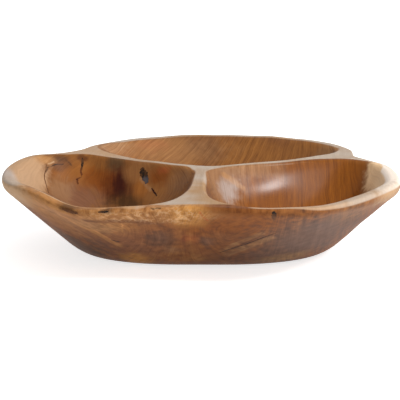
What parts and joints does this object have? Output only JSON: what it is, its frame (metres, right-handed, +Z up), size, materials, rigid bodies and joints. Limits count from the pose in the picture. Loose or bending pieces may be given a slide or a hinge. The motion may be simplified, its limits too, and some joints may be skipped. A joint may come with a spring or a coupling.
{
  "type": "divided wooden bowl",
  "caption": "Low lobed serving bowl carved from teak root, with hollows parted by ridges that meet at a hub, dark filler in its knots and checks, and a flat foot.",
  "frame": {"origin": "on the table under the middle of the bowl, on the flat foot", "axes": "+Z up out of the hollows, +X to the right and +Y to the rear as seen from the front, where the front ridge ends"},
  "size_m": [0.2956, 0.2859, 0.0629],
  "materials": {
    "teak": "oiled, satin in the hollows and drier on the rim",
    "filler": "dark wood filler, sanded flush, satin"
  },
  "bodies": {
    "root": {"carved_body": "teak", "knot_fill": "filler", "knot_tail_fill": "filler", "wall_check_fill": "filler", "bark_seam_fill": "filler", "rim_pocket_fill": "filler", "rim_chip_fill": "filler", "rim_knot_fill": "filler", "side_check_fill": "filler", "side_split_fill": "filler"}
  },
  "joints": []
}
